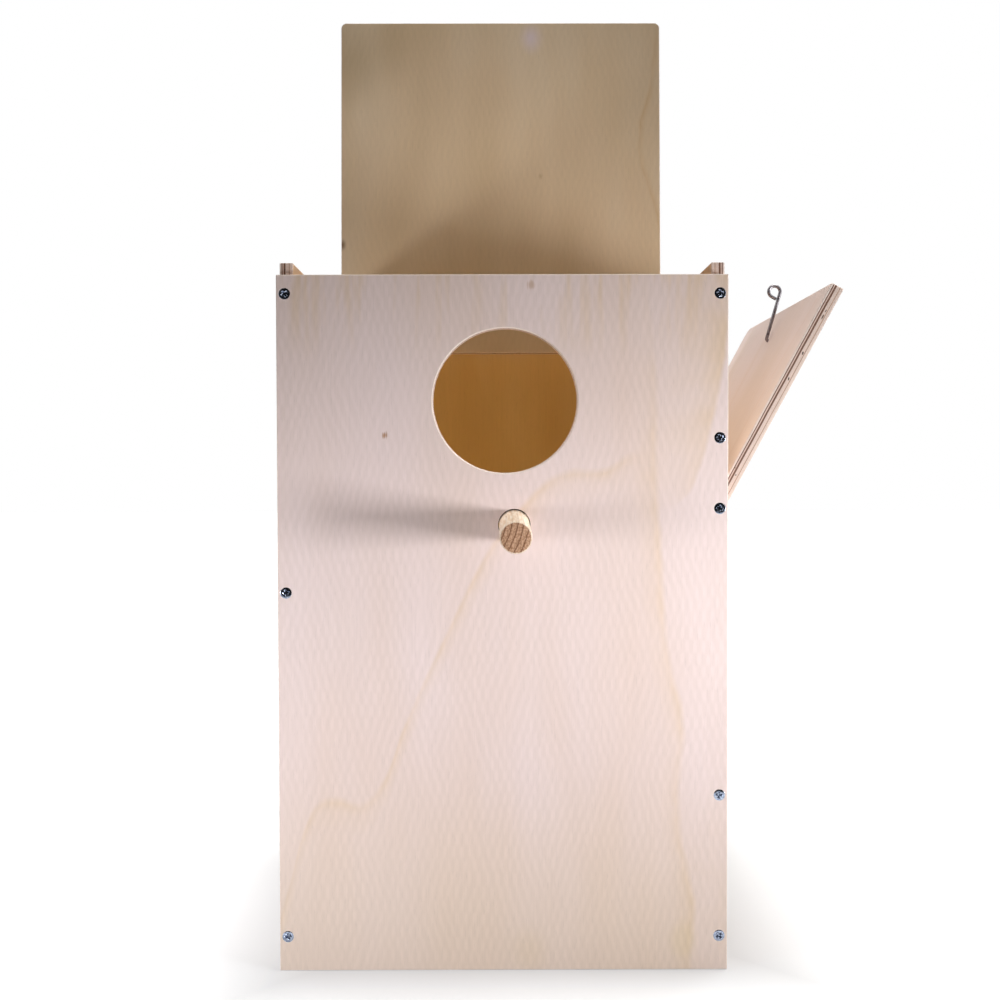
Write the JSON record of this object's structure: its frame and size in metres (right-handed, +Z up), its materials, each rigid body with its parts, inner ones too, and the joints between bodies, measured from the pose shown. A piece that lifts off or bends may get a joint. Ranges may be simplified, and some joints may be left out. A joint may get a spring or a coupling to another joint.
{
  "type": "bird nest box",
  "caption": "Plywood bird nest box with a round entrance hole, a dowel perch, a lid that swings up and a top-hung side door held by a bent wire latch.",
  "frame": {"origin": "middle of the floor's underside, which the box stands on", "axes": "+Z up, the front with the entrance hole faces -Y, the side door is on +X"},
  "size_m": [0.2532, 0.2503, 0.4816],
  "materials": {
    "plywood": "unfinished rotary-cut veneer plywood, sanded",
    "dowel": "unfinished softwood dowel",
    "zinc_screw": "bright zinc plated",
    "steel_nail": "bright drawn steel",
    "latch_wire": "galvanised drawn wire"
  },
  "bodies": {
    "box": {"front_panel": "plywood", "back_panel": "plywood", "left_side_panel": "plywood", "right_upper_panel": "plywood", "right_lower_panel": "plywood", "floor_panel": "plywood", "perch": "dowel", "front_left_screws": "zinc_screw", "front_right_upper_screws": "zinc_screw", "front_right_lower_screws": "zinc_screw", "back_left_screws": "zinc_screw", "back_right_upper_screws": "zinc_screw", "back_right_lower_screws": "zinc_screw", "floor_nails_left": "steel_nail", "floor_nails_right": "steel_nail"},
    "lid": {"lid": "plywood", "lid_pivot_nail_left": "steel_nail", "lid_pivot_nail_right": "steel_nail"},
    "door": {"side_door": "plywood", "door_pivot_screw_front": "zinc_screw", "door_pivot_screw_back": "zinc_screw"},
    "latch": {"wire_latch": "latch_wire"}
  },
  "joints": [
    {"name": "lid_hinge", "type": "hinge", "parent": "box", "child": "lid", "pos_m": [0, 0.07, 0.3131], "axis": [1, 0, 0], "range_deg": [-72, 92.5]},
    {"name": "door_hinge", "type": "hinge", "parent": "box", "child": "door", "pos_m": [0.0963, 0, 0.2064], "axis": [0, 1, 0], "range_deg": [0, 151.5]},
    {"name": "latch_turn", "type": "hinge", "parent": "door", "child": "latch", "pos_m": [0.14111, -0.003, 0.28892], "axis": [-0.8788, 0, 0.4772], "range_deg": [0, 90]}
  ]
}
